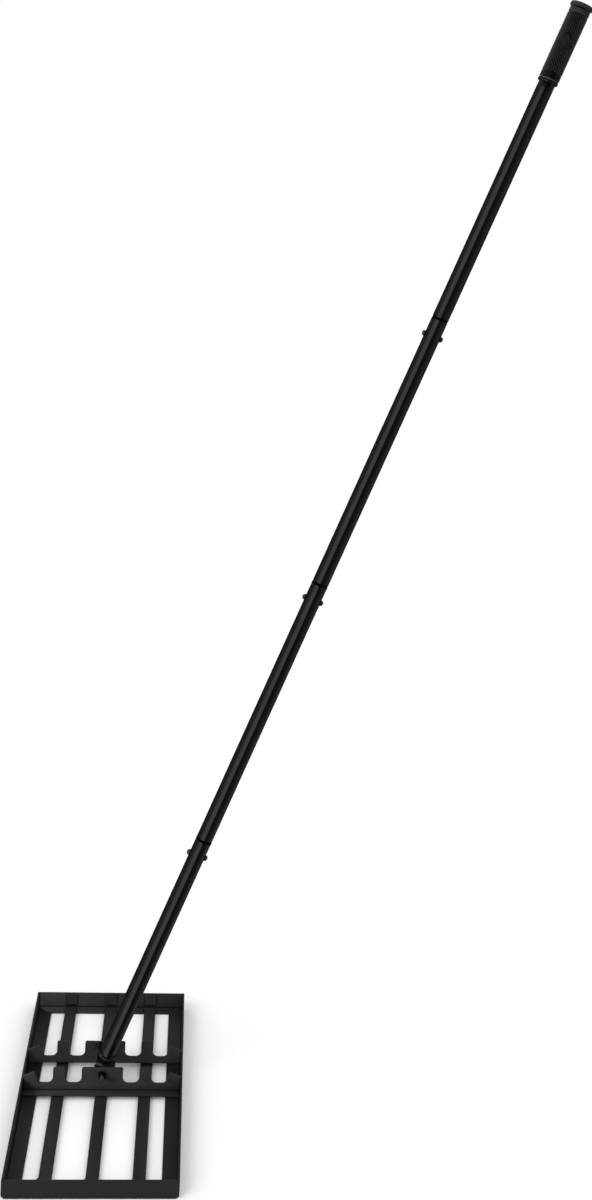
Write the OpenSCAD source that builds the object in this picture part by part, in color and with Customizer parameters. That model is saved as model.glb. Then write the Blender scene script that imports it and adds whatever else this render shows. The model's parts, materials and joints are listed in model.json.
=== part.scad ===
// Lawn leveling rake. A low steel frame is dragged over loose soil, which its rim, straps and
// cross walls spread into the hollows. A tube handle in four sections swings on a bolt between
// the two cross walls.
// Origin on the ground under the middle of the front flange, +Z up, +Y to the rear, +X to the right.

/* [Frame] */
// Length of the frame, front to rear
base_length = 432; // [360:1:560]
// Width of the frame, side to side
base_width = 254; // [236:1:360]
// Height of the upright rim
rim_height = 28; // [20:0.5:34]
// Width of the flange that the rim turns in along the ground at the sides
side_flange = 26; // [16:0.5:32]
// Width of that flange at the front and at the rear
end_flange = 18; // [14:0.5:32]
// Thickness of the sheet that rim, straps and walls are made of
sheet = 3; // [2:0.1:3.6]
// Radius in the root between rim and flange
rim_root = 3; // [1:0.1:4]
// How much is ground off the lower corners of the frame
frame_corner = 5; // [2:0.5:8]

/* [Straps] */
// Width of each long strap
strap_width = 19.5; // [12:0.5:26]
// Distance between neighbouring straps, centre to centre
strap_pitch = 68; // [62:0.5:76]
// Inside radius of the upturned strap ends
strap_bend = 8; // [4:0.5:10]
// How far the strap ends stop below the top of the rim
strap_drop = 0.8; // [0:0.1:4]

/* [Cross walls] */
// Clear space between the two walls
wall_gap = 60; // [56:1:84]
// How far the walls sit behind the middle of the frame
wall_shift = 30; // [-60:1:60]
// Height of each wall
wall_height = 40; // [37:0.5:50]
// Width of the foot that each wall turns outward over the straps
wall_foot = 15; // [9:0.5:24]
// Inside radius of the bend at the foot
wall_bend = 3; // [1:0.1:4]
// Width of the middle tab that carries the bolt
tab_width = 65; // [50:0.5:72]
// Width of the post over each outer strap
post_width = 19; // [14:0.5:26]
// Width of the slot outside each post, at its floor
outer_slot = 25.5; // [20:0.5:28]
// How far the outer side of that slot leans out at the top
slot_slant = 3.5; // [0.5:0.5:6]
// Height of the slot floors over the underside of the wall
slot_floor = 14; // [9:0.5:16]
// Radius in the lower corners of the slots
slot_radius = 8.5; // [2:0.5:9]
// Radius on the upper corners of tab and posts
wall_corner = 3; // [0.5:0.5:5]
// How far the outer ends of the walls stop below the tab
end_drop = 8; // [2:0.5:10]
// Drop of the slope on top of them
slope_drop = 6.5; // [2:0.5:8]

/* [Pivot] */
// Diameter of the bolt
bolt_d = 6; // [5:0.5:8]
// Height of the bolt over the underside of the walls
bolt_height = 28.5; // [26:0.5:30]
// Width of the hexagon of bolt head and nut, across flats
hex_flats = 10; // [8:0.5:14]
// Thickness of the bolt head
head_thickness = 4; // [3:0.1:6]
// Thickness of the nut
nut_thickness = 6; // [4:0.1:9]
// Length of thread that stands out of the nut
thread_end = 10.5; // [4:0.5:18]
// Thickness of the spacer washers beside the yoke
washer_thickness = 1.6; // [1:0.1:3]
// Diameter of the spacer washers
washer_d = 14; // [12:0.5:20]

/* [Yoke] */
// Width of the yoke across its web
yoke_width = 32; // [31:0.5:36]
// Thickness of the yoke sheet
yoke_sheet = 3; // [2:0.1:4]
// Inside radius of the bends of the yoke
yoke_bend = 1.5; // [1:0.1:5]
// Distance from the bolt to the top of the web
yoke_rise = 12; // [11:0.5:18]
// Lean of the handle to the right, as it stands, in degrees
lean = 20.7; // [0:0.1:60]

/* [Handle] */
// Outside diameter of the tubes
tube_d = 26; // [22:0.1:27]
// Wall of the tubes
tube_wall = 0.8; // [0.6:0.1:1]
// Length of the lower tube
lower_length = 391; // [200:1:500]
// Length of each middle tube that shows
middle_length = 452.5; // [200:0.5:600]
// Length of the upper tube that shows below and inside the grip
upper_length = 518; // [260:1:700]
// Length of the swaged end that goes into the tube below
swage_length = 70; // [60:1:90]
// Length of the neck that shows over each joint
neck_length = 1; // [0.5:0.1:3]
// Length of the taper over the neck
taper_length = 3; // [2:0.1:6]
// Leg of the weld round the foot of the handle
weld_leg = 2.6; // [1.5:0.1:3]

/* [Snap buttons] */
// Diameter of the buttons
button_d = 8.5; // [6:0.1:9]
// How far a button stands out of the tube
button_out = 4.5; // [3:0.1:5]
// Distance from the end of the outer tube down to the buttons
button_drop = 26.5; // [16:0.5:30]
// Height of the button's dome
dome_height = 2; // [1:0.1:2.5]
// Diameter of the button's inner head
button_head_d = 11; // [10:0.1:12]
// Thickness of that head
button_head = 1.2; // [0.8:0.1:1.6]
// Thickness of the spring clip
clip_sheet = 0.8; // [0.5:0.1:1]
// Width of the spring clip
clip_width = 7; // [5:0.1:8]
// Length of the clip's arms below the buttons
clip_length = 30; // [20:0.5:34]

/* [Grip] */
// Length of the grip
grip_length = 128; // [110:0.5:180]
// Diameter of the grip over its pattern
grip_d = 32; // [30:0.1:36]
// Diameter of the end flange
grip_flange_d = 36; // [34:0.1:42]
// Thickness of the end flange
grip_flange = 7; // [5:0.1:10]
// Thickness of the rubber over the tube's end
grip_cap = 4; // [2:0.1:5]
// Width of the groove under the flange
grip_groove = 2; // [1:0.1:4]
// Depth of the grooves and of the plain band
grip_step = 0.8; // [0.4:0.1:1.2]
// Length of the plain band above the lower lip
grip_band = 10; // [4:0.1:14]
// Length of the lower lip
grip_lip = 6; // [4:0.1:12]
// Rounding of the grip's outer edges
grip_round = 1.5; // [0.5:0.1:2.5]

/* [Hidden] */
$fn = 96;

// Clearances: bolt in its holes, washers along the bolt, swaged end in tube, button in hole, grip on tube
bolt_fit = 0.06;
washer_play = 0.15;
swage_fit = 0.15;
button_fit = 0.25;
head_fit = 0.2;
grip_fit = 0.1;
overrun = 5;
hex_sides = 6;

// The pieces are drawn round the middle of the frame, which lies this far behind the origin
frame_y = (base_length - end_flange) / 2;

// The walls stand on the straps, and the straps lie on the flanges
strap_z = sheet;
wall_z = strap_z + sheet;
pivot_z = wall_z + bolt_height;
wall_length = base_width - 2 * sheet;
outer_slot_x = strap_pitch + (post_width + outer_slot) / 2;
outer_slot_end = outer_slot_x + outer_slot / 2;
inner_slot = strap_pitch - (post_width + tab_width) / 2;
inner_slot_x = (tab_width + inner_slot) / 2;
wall_end_height = wall_height - end_drop;
yoke_span = wall_gap - 2 * (washer_thickness + 2 * washer_play);

// Heights along the handle are measured from the bolt
tube_r = tube_d / 2;
swage_r = tube_r - tube_wall - swage_fit;
joint_lower = yoke_rise + lower_length;
joint_middle = joint_lower + middle_length;
joint_upper = joint_middle + middle_length;
tube_top = joint_upper + upper_length;
grip_bottom = tube_top + grip_cap - grip_length;

// The head of a button stops inside the swaged tube, which curves away from it
button_r = button_d / 2;
button_tip = tube_r + button_out;
head_x = sqrt(pow(swage_r - tube_wall, 2) - pow(button_head_d / 2, 2)) - head_fit;
arm_x = head_x - button_head;
dome_r = (pow(button_r, 2) + pow(dome_height, 2)) / (2 * dome_height);

paint = [0.13, 0.13, 0.135];
tube_paint = [0.05, 0.05, 0.055];
fastener = [0.17, 0.17, 0.18];
rubber = [0.09, 0.09, 0.09];

// Bent angle: the outside corner is at the origin, one leg runs up and one runs out
module angle_section(up, out, thick, bend) {
    turn = bend + thick;
    translate([turn, 0]) square([out - turn, thick]);
    translate([0, turn]) square([thick, up - turn]);
    intersection() {
        square(turn);
        translate([turn, turn]) difference() {
            circle(turn);
            circle(bend);
        }
    }
}

// Rolled angle: like the bent one, but sharp outside and with a rounded root
module rolled_section(up, out, thick, root) {
    square([out, thick]);
    square([thick, up]);
    translate([thick, thick]) difference() {
        square(root);
        translate([root, root]) circle(root);
    }
}

// What grinding takes off a lower corner of the frame, which lies at the origin
module ground_corner() {
    tilt = atan(sqrt(2));
    depth = frame_corner / sqrt(3);
    rotate([0, 0, 45]) rotate([0, tilt, 0]) translate([-frame_corner, -frame_corner, depth - frame_corner])
        cube([2 * frame_corner, 2 * frame_corner, frame_corner]);
}

// One side of the rim, as the left side of a frame. Its ends are mitred as far as the narrower of
// the two flanges goes, and a wider flange ends square at the next one.
module rim_side(run, reach, flange, next_flange) {
    mitre = min(flange, next_flange);
    inner = flange > mitre ? [[flange - reach, run / 2 - mitre], [flange - reach, mitre - run / 2]] : [];
    difference() {
        intersection() {
            translate([-reach, run / 2, 0]) rotate([90, 0, 0])
                linear_extrude(run) rolled_section(rim_height, flange, sheet, rim_root);
            linear_extrude(rim_height) polygon(concat(
                [[-reach, -run / 2], [-reach, run / 2], [mitre - reach, run / 2 - mitre]],
                inner,
                [[mitre - reach, mitre - run / 2]]));
        }
        for (end = [0, 1]) mirror([0, end, 0]) translate([-reach, -run / 2, 0]) ground_corner();
    }
}

// Flat strap with both ends turned up along the inside of the end rims
module strap(x) {
    half = base_length / 2 - sheet;
    color(paint) translate([x - strap_width / 2, 0, strap_z]) rotate([90, 0, 90])
        linear_extrude(strap_width) for (side = [0, 1]) mirror([side, 0])
            translate([-half, 0]) angle_section(rim_height - strap_drop - strap_z, half, sheet, strap_bend);
}

// Round-bottomed slot, open at the top
module slot(width) {
    round_x = width / 2 - slot_radius;
    tall = wall_height - slot_floor + overrun;
    translate([-width / 2, slot_floor + slot_radius]) square([width, tall - slot_radius]);
    translate([-round_x, slot_floor]) square([2 * round_x, tall]);
    for (x = [-round_x, round_x]) translate([x, slot_floor + slot_radius]) circle(slot_radius);
}

// What rounding takes off an upper corner, for a corner at x whose wall lies on the given side
module corner_cut(x, side) {
    translate([x, wall_height]) mirror([side < 0 ? 1 : 0, 0]) difference() {
        translate([-overrun, -wall_corner]) square([overrun + wall_corner, wall_corner + overrun]);
        translate([wall_corner, -wall_corner]) circle(wall_corner);
        translate([-overrun, -wall_corner - overrun]) square([overrun, wall_height]);
    }
}

// What the leaning outer side of an outer slot takes off the end post
module slant_cut(side) {
    foot = slot_floor + slot_radius;
    top = wall_height + overrun;
    top_x = outer_slot_end + slot_slant * (top - foot) / (wall_end_height - foot);
    mirror([side < 0 ? 1 : 0, 0])
        polygon([[outer_slot_x, foot], [outer_slot_end, foot], [top_x, top], [outer_slot_x, top]]);
}

// Outline of a wall from the front: end posts, slots, posts over the outer straps and a middle tab
module wall_outline() {
    half = wall_length / 2;
    edges = [tab_width / 2, strap_pitch + post_width / 2];
    right = [
        [half, 0], [half, wall_end_height - slope_drop], [outer_slot_end + slot_slant, wall_end_height],
        [outer_slot_x, wall_end_height], [outer_slot_x, wall_height]];
    left = [for (i = [len(right) - 1 : -1 : 0]) [-right[i][0], right[i][1]]];
    difference() {
        polygon(concat(right, left));
        for (side = [-1, 1]) {
            translate([side * outer_slot_x, 0]) slot(outer_slot);
            slant_cut(side);
            translate([side * inner_slot_x, 0]) slot(inner_slot);
            for (x = edges) corner_cut(side * x, -side);
            corner_cut(side * (strap_pitch - post_width / 2), side);
        }
        translate([0, bolt_height]) circle(bolt_d / 2 + bolt_fit);
    }
}

// Rear wall: bent along its foot and cut to the outline
module rear_wall() {
    translate([0, wall_gap / 2, wall_z]) intersection() {
        translate([-wall_length / 2, 0, 0]) rotate([90, 0, 90])
            linear_extrude(wall_length) angle_section(wall_height, wall_foot, sheet, wall_bend);
        translate([0, wall_foot, 0]) rotate([90, 0, 0]) linear_extrude(wall_foot) wall_outline();
    }
}

// Places what is drawn round the bolt axis: its axis runs to the rear
module at_bolt(y) {
    translate([0, wall_shift + y, pivot_z]) rotate([-90, 0, 0]) children();
}

// Places what is drawn along the handle, from the bolt up
module on_handle() {
    translate([0, wall_shift, pivot_z]) rotate([0, lean, 0]) children();
}

module hexagon(thick) {
    cylinder(d = hex_flats / cos(180 / hex_sides), h = thick, $fn = hex_sides);
}

// Cross hole for a pair of buttons
module button_holes(joint) {
    translate([-tube_d, 0, joint - button_drop]) rotate([0, 90, 0])
        cylinder(r = button_r + button_fit, h = 2 * tube_d);
}

// Tube with a swaged lower end that stands in the tube below
module swaged_tube(joint, top) {
    neck = joint + neck_length;
    full = neck + taper_length;
    rotate_extrude() polygon([
        [swage_r - tube_wall, joint - swage_length],
        [swage_r, joint - swage_length],
        [swage_r, neck],
        [tube_r, full],
        [tube_r, top],
        [tube_r - tube_wall, top],
        [tube_r - tube_wall, full],
        [swage_r - tube_wall, neck]]);
}

// Domed pin with an inner head, along +X from the axis of the tube
module snap_button(joint, side) {
    color(fastener) on_handle() translate([0, 0, joint - button_drop]) mirror([side < 0 ? 1 : 0, 0, 0])
        rotate([0, 90, 0]) rotate_extrude() {
            translate([0, arm_x]) square([button_head_d / 2, button_head]);
            intersection() {
                translate([0, head_x]) square([button_r, button_tip - head_x]);
                union() {
                    translate([0, button_tip - dome_r]) circle(dome_r);
                    square([button_r, button_tip - dome_height]);
                }
            }
        }
}

// Bent strip that pushes two buttons apart
module spring_clip(joint) {
    top = button_head_d / 2;
    color(fastener) on_handle() translate([0, clip_width / 2, joint - button_drop])
        rotate([90, 0, 0]) linear_extrude(clip_width) {
            for (x = [-arm_x, arm_x - clip_sheet])
                translate([x, -clip_length]) square([clip_sheet, clip_length + top]);
            translate([0, -clip_length]) difference() {
                circle(arm_x);
                circle(arm_x - clip_sheet);
                translate([-arm_x, 0]) square([2 * arm_x, arm_x]);
            }
        }
}

module side_rim() { color(paint) rim_side(base_length, base_width / 2, side_flange, end_flange); }
module rim_left() { side_rim(); }
module rim_right() { mirror([1, 0, 0]) side_rim(); }

module end_rim() { color(paint) rim_side(base_width, base_length / 2, end_flange, side_flange); }
module rim_front() { rotate([0, 0, 90]) end_rim(); }
module rim_rear() { rotate([0, 0, -90]) end_rim(); }

module strap_left() { strap(-strap_pitch); }
module strap_middle() { strap(0); }
module strap_right() { strap(strap_pitch); }

module cross_wall_front() { color(paint) translate([0, wall_shift, 0]) mirror([0, 1, 0]) rear_wall(); }
module cross_wall_rear() { color(paint) translate([0, wall_shift, 0]) rear_wall(); }

// Bolt from the rear: head against the rear wall, thread end out of the nut at the front
module pivot_bolt() {
    seat = wall_gap / 2 + sheet;
    color(fastener) {
        at_bolt(-seat - nut_thickness - thread_end)
            cylinder(d = bolt_d, h = 2 * seat + nut_thickness + thread_end);
        at_bolt(seat) hexagon(head_thickness);
    }
}

module pivot_nut() {
    color(fastener) at_bolt(-wall_gap / 2 - sheet - nut_thickness) difference() {
        hexagon(nut_thickness);
        translate([0, 0, -overrun]) cylinder(r = bolt_d / 2 + bolt_fit, h = nut_thickness + 2 * overrun);
    }
}

// Washer that keeps the yoke off a wall
module spacer(y) {
    color(fastener) at_bolt(y) difference() {
        cylinder(d = washer_d, h = washer_thickness);
        translate([0, 0, -overrun]) cylinder(r = bolt_d / 2 + bolt_fit, h = washer_thickness + 2 * overrun);
    }
}
module spacer_front() { spacer(washer_play - wall_gap / 2); }
module spacer_rear() { spacer(wall_gap / 2 - washer_play - washer_thickness); }

// Saddle bent from sheet: a web across the handle and two round-ended legs on the bolt
module yoke() {
    tall = yoke_rise + yoke_width / 2;
    color(paint) on_handle() difference() {
        intersection() {
            translate([-yoke_width / 2, 0, yoke_rise]) rotate([90, 0, 90])
                linear_extrude(yoke_width) for (side = [0, 1]) mirror([side, 0]) mirror([0, 1])
                    translate([-yoke_span / 2, 0])
                        angle_section(tall, yoke_span / 2, yoke_sheet, yoke_bend);
            translate([0, yoke_span / 2, 0]) rotate([90, 0, 0]) linear_extrude(yoke_span) {
                circle(d = yoke_width);
                translate([-yoke_width / 2, 0]) square([yoke_width, yoke_rise]);
            }
        }
        translate([0, -yoke_span, 0]) rotate([-90, 0, 0])
            cylinder(r = bolt_d / 2 + bolt_fit, h = 2 * yoke_span);
    }
}

// Plain tube with a weld fillet round its foot on the web
module lower_tube() {
    color(tube_paint) on_handle() difference() {
        rotate_extrude() polygon([
            [tube_r - tube_wall, yoke_rise],
            [tube_r + weld_leg, yoke_rise],
            [tube_r, yoke_rise + weld_leg],
            [tube_r, joint_lower],
            [tube_r - tube_wall, joint_lower]]);
        button_holes(joint_lower);
    }
}

module lower_middle_tube() {
    color(tube_paint) on_handle() difference() {
        swaged_tube(joint_lower, joint_middle);
        button_holes(joint_lower);
        button_holes(joint_middle);
    }
}

module upper_middle_tube() {
    color(tube_paint) on_handle() difference() {
        swaged_tube(joint_middle, joint_upper);
        button_holes(joint_middle);
        button_holes(joint_upper);
    }
}

module upper_tube() {
    color(tube_paint) on_handle() difference() {
        swaged_tube(joint_upper, tube_top);
        button_holes(joint_upper);
    }
}

// Rubber grip: end flange with a groove under it, long gripping zone, plain band and lower lip
module grip() {
    r = grip_d / 2;
    flange_r = grip_flange_d / 2;
    top = grip_bottom + grip_length;
    flange_z = top - grip_flange;
    lip_z = grip_bottom + grip_lip;
    band_z = lip_z + grip_band;
    color(rubber) on_handle() rotate_extrude() difference() {
        polygon([
            [0, grip_bottom],
            [r - grip_round, grip_bottom],
            [r, grip_bottom + grip_round],
            [r, lip_z],
            [r - grip_step, lip_z],
            [r - grip_step, band_z],
            [r, band_z],
            [r, flange_z - grip_groove],
            [r - grip_step, flange_z - grip_groove],
            [r - grip_step, flange_z],
            [flange_r - grip_round, flange_z],
            [flange_r, flange_z + grip_round],
            [flange_r, top - grip_round],
            [flange_r - grip_round, top],
            [0, top]]);
        translate([0, grip_bottom - overrun]) square([tube_r + grip_fit, tube_top - grip_bottom + overrun]);
    }
}

module button_lower_left() { snap_button(joint_lower, -1); }
module button_lower_right() { snap_button(joint_lower, 1); }
module button_middle_left() { snap_button(joint_middle, -1); }
module button_middle_right() { snap_button(joint_middle, 1); }
module button_upper_left() { snap_button(joint_upper, -1); }
module button_upper_right() { snap_button(joint_upper, 1); }

module spring_lower() { spring_clip(joint_lower); }
module spring_middle() { spring_clip(joint_middle); }
module spring_upper() { spring_clip(joint_upper); }

translate([0, frame_y, 0]) {
    rim_left();
    rim_right();
    rim_front();
    rim_rear();
    strap_left();
    strap_middle();
    strap_right();
    cross_wall_front();
    cross_wall_rear();
    pivot_bolt();
    pivot_nut();
    spacer_front();
    spacer_rear();
    yoke();
    lower_tube();
    lower_middle_tube();
    upper_middle_tube();
    upper_tube();
    grip();
    button_lower_left();
    button_lower_right();
    button_middle_left();
    button_middle_right();
    button_upper_left();
    button_upper_right();
    spring_lower();
    spring_middle();
    spring_upper();
}
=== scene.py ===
# %% [markdown]
# # Lawn leveling rake
# A low steel frame is dragged over loose soil, and a jointed tube handle swings on a bolt in its middle.
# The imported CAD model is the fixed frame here: it gives every size and place, in metres.
# This lesson dresses it: soft edges on the bent sheet, real fasteners, a weld, a moulded grip,
# and a finish for each material.

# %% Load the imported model
import json
import math

import bmesh
import bpy
from mathutils import Matrix, Vector

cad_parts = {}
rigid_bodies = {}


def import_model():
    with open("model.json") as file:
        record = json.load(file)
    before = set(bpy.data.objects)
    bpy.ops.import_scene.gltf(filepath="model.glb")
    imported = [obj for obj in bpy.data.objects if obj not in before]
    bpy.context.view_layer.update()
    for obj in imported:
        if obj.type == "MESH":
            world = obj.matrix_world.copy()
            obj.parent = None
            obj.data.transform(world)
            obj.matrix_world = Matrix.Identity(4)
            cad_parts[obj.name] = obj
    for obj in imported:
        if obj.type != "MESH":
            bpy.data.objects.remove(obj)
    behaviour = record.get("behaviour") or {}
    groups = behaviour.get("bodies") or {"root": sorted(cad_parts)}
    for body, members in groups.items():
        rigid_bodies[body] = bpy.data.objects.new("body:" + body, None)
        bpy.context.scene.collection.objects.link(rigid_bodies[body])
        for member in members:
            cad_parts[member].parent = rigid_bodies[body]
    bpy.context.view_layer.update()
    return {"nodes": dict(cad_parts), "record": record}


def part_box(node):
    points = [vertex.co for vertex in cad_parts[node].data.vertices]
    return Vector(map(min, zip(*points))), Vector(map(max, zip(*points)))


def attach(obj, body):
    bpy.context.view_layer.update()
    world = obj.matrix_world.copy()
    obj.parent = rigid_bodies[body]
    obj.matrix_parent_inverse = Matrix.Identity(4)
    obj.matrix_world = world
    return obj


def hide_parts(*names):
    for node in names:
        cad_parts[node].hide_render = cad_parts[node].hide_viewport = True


for leftover in list(bpy.data.objects):
    bpy.data.objects.remove(leftover)
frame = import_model()

# %% [markdown]
# ## The camera
# The photograph looks down on the frame from a little under the height of the handle's end.
# A camera fitted to the frame's straight edges gives this place and turn. The picture sits low on the
# lens, which keeps the upright handle from flaring, so a part of the tilt is a vertical shift.

# %% Camera
MM = 0.001
CAMERA_PLACE = (0.0912, -1.7952, 1.5059)
CAMERA_YAW = math.radians(4.18)
CAMERA_DIP = math.radians(6.35)
CAMERA_ROLL = math.radians(3.22)
CAMERA_LENS = 40.49
CAMERA_SHIFT_UP = -0.25
CAMERA_SHIFT_RIGHT = 0.0004

camera = bpy.data.objects.new("camera", bpy.data.cameras.new("camera"))
bpy.context.collection.objects.link(camera)
yaw = Matrix.Rotation(-CAMERA_YAW, 4, "Z")
dip = Matrix.Rotation(math.pi / 2 - CAMERA_DIP, 4, "X")
roll = Matrix.Rotation(CAMERA_ROLL, 4, "Z")
camera.location = CAMERA_PLACE
camera.rotation_euler = (yaw @ dip @ roll).to_euler()
camera.data.lens = CAMERA_LENS
camera.data.shift_x = CAMERA_SHIFT_RIGHT
camera.data.shift_y = CAMERA_SHIFT_UP
bpy.context.scene.camera = camera
print("camera at", CAMERA_PLACE, "with a", CAMERA_LENS, "mm lens")

# %% [markdown]
# ## Colours and nodes
# Colours are written as the sRGB hex values that a paint chart would give, and the shader needs them
# linear. One small function adds any node, sets it and links it. A Mix node has sockets for numbers,
# vectors and colours under the same names, so its colour sockets are called by their place.

# %% Helpers for materials
MIX_SHARE = 0
MIX_DARK = 6
MIX_LIGHT = 7
MIX_COLOUR = 2


def linear(hex_colour):
    channels = [int(hex_colour[i:i + 2], 16) / 255 for i in (1, 3, 5)]
    return [c / 12.92 if c <= 0.04045 else ((c + 0.055) / 1.055) ** 2.4 for c in channels] + [1.0]


def add_node(material, kind, inputs=None, **settings):
    node = material.node_tree.nodes.new(kind)
    for name, value in settings.items():
        setattr(node, name, value)
    for name, value in (inputs or {}).items():
        if isinstance(value, bpy.types.NodeSocket):
            material.node_tree.links.new(value, node.inputs[name])
        else:
            node.inputs[name].default_value = value
    return node


def empty_material(name):
    material = bpy.data.materials.new(name)
    material.use_nodes = True
    material.node_tree.nodes.clear()
    return material


print("mid grey #808080 is", round(linear("#808080")[0], 3), "in linear light")

# %% [markdown]
# ## Powder coat on sheet steel
# The frame is sheet steel with a satin black powder coat. The powder melts into a skin with a fine
# orange peel, and the gloss is a little uneven in patches. The peel is about 1 mm wide, drawn at twice
# that so that it shows at all. Where two pieces meet, an Ambient Occlusion node finds the seam and
# darkens the colour there, which is painted shade. The bottom of a bend gets a darker copy of the coat
# of its own, which paints the shade in the hollow of the bend.

# %% Powder coat
PAINT_IOR = 1.5
PEEL_SIZE = 2.2 * MM
PEEL_DEPTH = 0.15 * MM
PEEL_STRENGTH = 0.25
PATCH_SIZE = 30 * MM
POWDER_ROUGH_LOW = 0.42
POWDER_ROUGH_HIGH = 0.62
POWDER_SHEEN = 0.08
CORNER_REACH = 3 * MM
CORNER_SAMPLES = 8
CORNER_SHUT = 0.65
CORNER_OPEN = 0.9
PAINTED_SHADE_DARKEST = 0.15


def powder(name, dark, light):
    coat = empty_material(name)
    coords = add_node(coat, "ShaderNodeTexCoord")
    peel = add_node(coat, "ShaderNodeTexNoise",
                    {"Vector": coords.outputs["Object"], "Scale": 1 / PEEL_SIZE, "Detail": 3.0})
    patches = add_node(coat, "ShaderNodeTexNoise",
                       {"Vector": coords.outputs["Object"], "Scale": 1 / PATCH_SIZE, "Detail": 4.0})
    tone = add_node(coat, "ShaderNodeMix",
                    {MIX_SHARE: patches.outputs["Fac"], MIX_DARK: linear(dark), MIX_LIGHT: linear(light)},
                    data_type="RGBA")
    # Painted shade: the colour is darkened where Ambient Occlusion finds a seam or a corner.
    corners = add_node(coat, "ShaderNodeAmbientOcclusion", {"Distance": CORNER_REACH}, samples=CORNER_SAMPLES)
    painted_seam_shade = add_node(coat, "ShaderNodeMapRange",
                     {"Value": corners.outputs["AO"], "From Min": CORNER_SHUT, "From Max": CORNER_OPEN,
                      "To Min": PAINTED_SHADE_DARKEST, "To Max": 1.0})
    shaded = add_node(coat, "ShaderNodeVectorMath",
                      {"Vector": tone.outputs[MIX_COLOUR], "Scale": painted_seam_shade.outputs["Result"]},
                      operation="SCALE")
    gloss = add_node(coat, "ShaderNodeMapRange",
                     {"Value": patches.outputs["Fac"],
                      "To Min": POWDER_ROUGH_LOW, "To Max": POWDER_ROUGH_HIGH})
    skin = add_node(coat, "ShaderNodeBump",
                    {"Height": peel.outputs["Fac"], "Strength": PEEL_STRENGTH, "Distance": PEEL_DEPTH})
    shader = add_node(coat, "ShaderNodeBsdfPrincipled",
                      {"Base Color": shaded.outputs["Vector"], "Roughness": gloss.outputs["Result"],
                       "Normal": skin.outputs["Normal"], "IOR": PAINT_IOR,
                       "Specular IOR Level": POWDER_SHEEN})
    add_node(coat, "ShaderNodeOutputMaterial", {"Surface": shader.outputs["BSDF"]})
    print("made", name)
    return coat


powder_coat = powder("powder_coated_steel", "#1f1f20", "#262627")
# A darker copy of the coat for the hollow of each bend: painted shade.
bend_shade_coat = powder("powder_coat_painted_bend_shade", "#070707", "#0c0c0d")

# %% [markdown]
# ## Gloss enamel on the tubes
# The handle's tubes are drawn steel with a wet gloss black paint, so they show hard strips of light.
# Long faint waves in the paint keep those strips from looking ruled.

# %% Gloss enamel
WAVE_SIZE = 12 * MM
WAVE_DEPTH = 0.2 * MM
WAVE_STRENGTH = 0.12
ENAMEL_ROUGH_LOW = 0.1
ENAMEL_ROUGH_HIGH = 0.2
gloss_enamel = empty_material("gloss_black_enamel")
coords = add_node(gloss_enamel, "ShaderNodeTexCoord")
waves = add_node(gloss_enamel, "ShaderNodeTexNoise",
                 {"Vector": coords.outputs["Object"], "Scale": 1 / WAVE_SIZE, "Detail": 2.0})
haze = add_node(gloss_enamel, "ShaderNodeMapRange",
                {"Value": waves.outputs["Fac"], "To Min": ENAMEL_ROUGH_LOW, "To Max": ENAMEL_ROUGH_HIGH})
skin = add_node(gloss_enamel, "ShaderNodeBump",
                {"Height": waves.outputs["Fac"], "Strength": WAVE_STRENGTH, "Distance": WAVE_DEPTH})
shader = add_node(gloss_enamel, "ShaderNodeBsdfPrincipled",
                  {"Base Color": linear("#070708"), "Roughness": haze.outputs["Result"],
                   "Normal": skin.outputs["Normal"], "IOR": PAINT_IOR})
add_node(gloss_enamel, "ShaderNodeOutputMaterial", {"Surface": shader.outputs["BSDF"]})
print("made", gloss_enamel.name)

# %% [markdown]
# ## Zinc, nickel, spring steel
# The bolt has a dark zinc plate, the nut and the washers a blacker one, each with a grain from the tool.
# The snap buttons are dark nickel and mirror the room, and the clips inside the tubes are bare spring
# strip.

# %% Fastener metals
def steel(name, dark, light, grain_size, rough_low, rough_high):
    material = empty_material(name)
    coords = add_node(material, "ShaderNodeTexCoord")
    grain = add_node(material, "ShaderNodeTexNoise",
                     {"Vector": coords.outputs["Object"], "Scale": 1 / grain_size, "Detail": 5.0})
    tone = add_node(material, "ShaderNodeMix",
                    {MIX_SHARE: grain.outputs["Fac"], MIX_DARK: linear(dark), MIX_LIGHT: linear(light)},
                    data_type="RGBA")
    rough = add_node(material, "ShaderNodeMapRange",
                     {"Value": grain.outputs["Fac"], "To Min": rough_low, "To Max": rough_high})
    shader = add_node(material, "ShaderNodeBsdfPrincipled",
                      {"Base Color": tone.outputs[MIX_COLOUR], "Roughness": rough.outputs["Result"],
                       "Metallic": 1.0})
    add_node(material, "ShaderNodeOutputMaterial", {"Surface": shader.outputs["BSDF"]})
    print("made", name)
    return material


dark_zinc = steel("dark_zinc_plate", "#39393b", "#5a5a5d",
                  grain_size=2 * MM, rough_low=0.22, rough_high=0.4)
nickel = steel("dark_nickel_plate", "#6e6e70", "#8a8a8c",
               grain_size=3 * MM, rough_low=0.08, rough_high=0.16)
black_zinc = steel("black_zinc_plate", "#17171a", "#2c2c2f",
                   grain_size=2 * MM, rough_low=0.18, rough_high=0.3)
spring_strip = steel("spring_steel_strip", "#6a6a6c", "#8c8c8e",
                     grain_size=1.5 * MM, rough_low=0.3, rough_high=0.45)

# %% [markdown]
# ## Moulded rubber
# The grip is soft black rubber from a polished mould: no mirror, but a sheen that makes each raised
# facet light or dark, and a grain that is felt more than seen. It is drawn in lighter and darker copies of
# one rubber: the raised pattern is grey and the plain parts and the grooves black, which paints light on
# the studs and shade between them, and the upper edge of the lip is lighter still, a painted highlight.
# The flange and the upper collar are a paler grey. The lozenge and the chevrons are matt.

# %% Rubber
RUBBER_IOR = 1.5
RUBBER_GRAIN = 1.2 * MM
RUBBER_GRAIN_DEPTH = 0.1 * MM
RUBBER_GRAIN_STRENGTH = 0.15


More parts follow.
